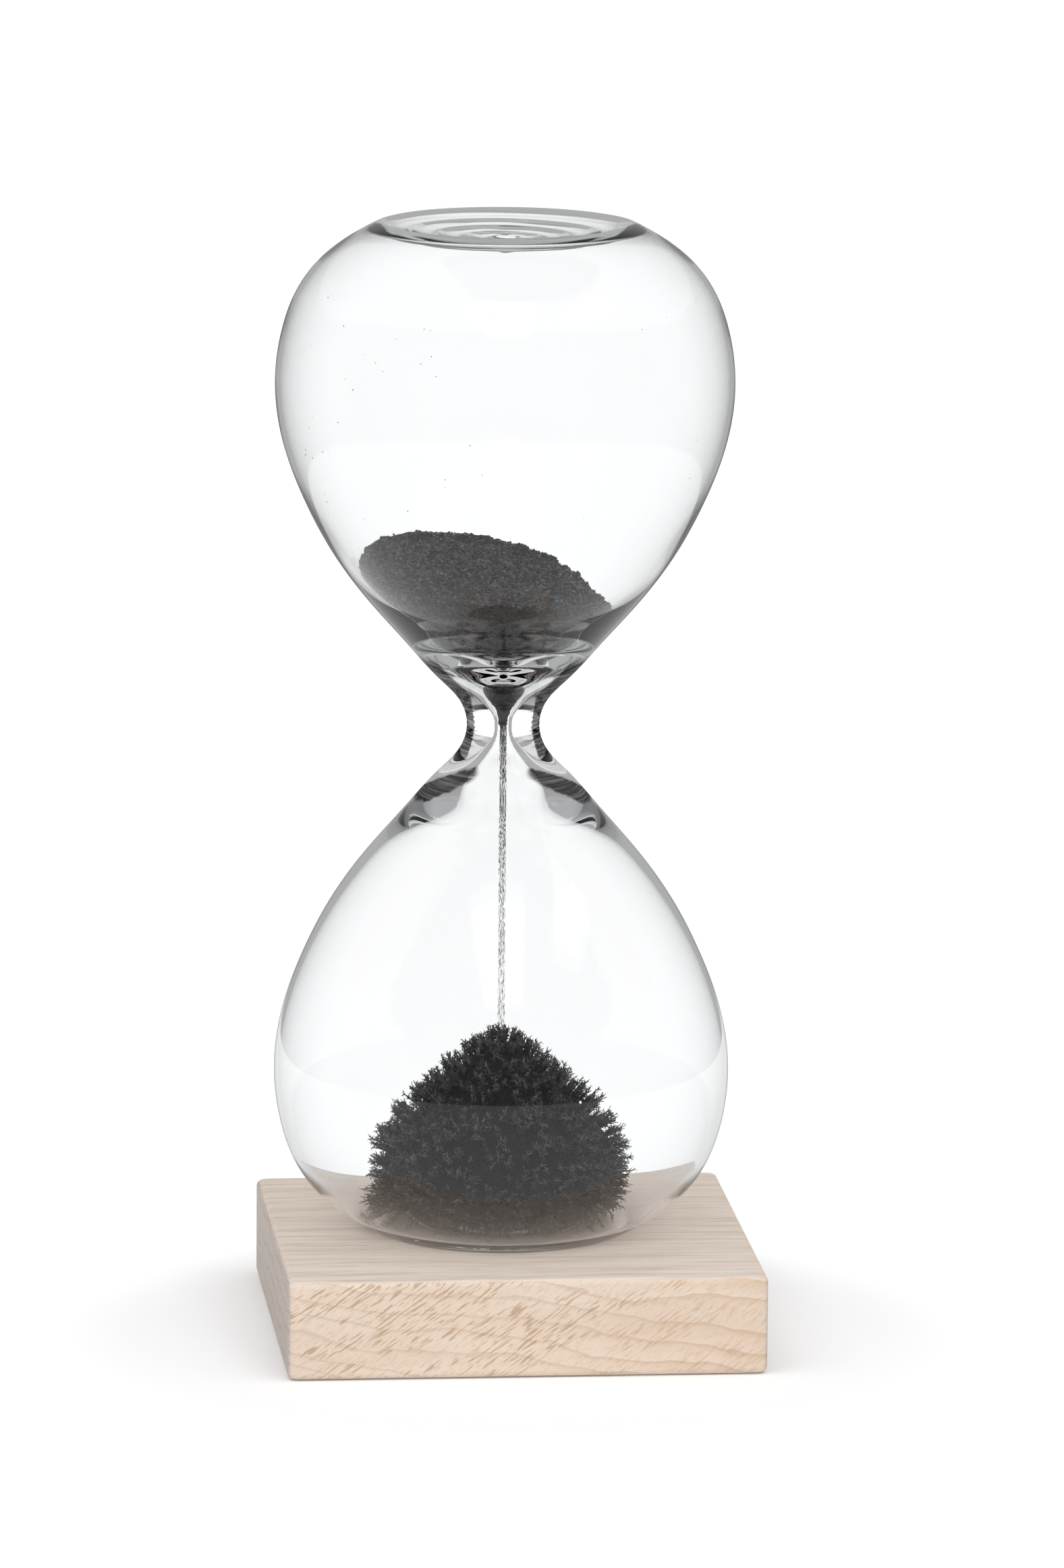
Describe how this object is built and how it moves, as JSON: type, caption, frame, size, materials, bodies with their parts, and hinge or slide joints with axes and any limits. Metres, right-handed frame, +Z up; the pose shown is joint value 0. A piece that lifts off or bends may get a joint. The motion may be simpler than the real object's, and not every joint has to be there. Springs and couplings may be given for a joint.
{
  "type": "magnetic hourglass",
  "caption": "Hourglass of blown glass with iron powder, standing loose on a square beech block whose hidden magnet draws the fallen powder into spikes.",
  "frame": {"origin": "middle of the block's underside, on the surface that the hourglass stands on", "axes": "+Z up along the hourglass, front of the block towards -Y, +X to the right as seen from the front"},
  "size_m": [0.063, 0.063, 0.1479],
  "materials": {
    "beech": "fine sanded, pale beech with ray flecks, thin matt oil",
    "beech_plug": "sanded beech, unfinished",
    "magnet_plating": "nickel plated, satin",
    "clear_glass": "clear blown borosilicate glass, fire polished",
    "seal_glass": "flame-closed drop of the same glass",
    "iron_powder": "loose iron powder, dark grey, granular",
    "falling_powder": "thread of falling iron grains",
    "magnetised_powder": "iron powder in branching needles, near black"
  },
  "bodies": {
    "base": {"base_block": "beech", "magnet": "magnet_plating", "magnet_cover": "beech_plug"},
    "glass": {"glass_vessel": "clear_glass", "fill_seal": "seal_glass"},
    "upper_powder": {"powder_upper": "iron_powder", "powder_stream": "falling_powder"},
    "lower_powder": {"powder_lower": "magnetised_powder"}
  },
  "joints": [
    {"name": "glass_turn_over", "type": "hinge", "parent": "base", "child": "glass", "pos_m": [0.034, 0.0002, 0.074], "axis": [0, 1, 0], "range_deg": [0, 180]},
    {"name": "upper_powder_fall", "type": "slide", "parent": "glass", "child": "upper_powder", "axis": [0, 0, 1], "range_m": [0, 0.04]},
    {"name": "lower_powder_fall", "type": "slide", "parent": "glass", "child": "lower_powder", "axis": [0, 0, 1], "range_m": [0, 0.033]}
  ],
  "couplings": [
    {"joint": "upper_powder_fall", "follows": "glass_turn_over", "m_per_rad": 0.01273},
    {"joint": "lower_powder_fall", "follows": "glass_turn_over", "m_per_rad": 0.0105}
  ]
}
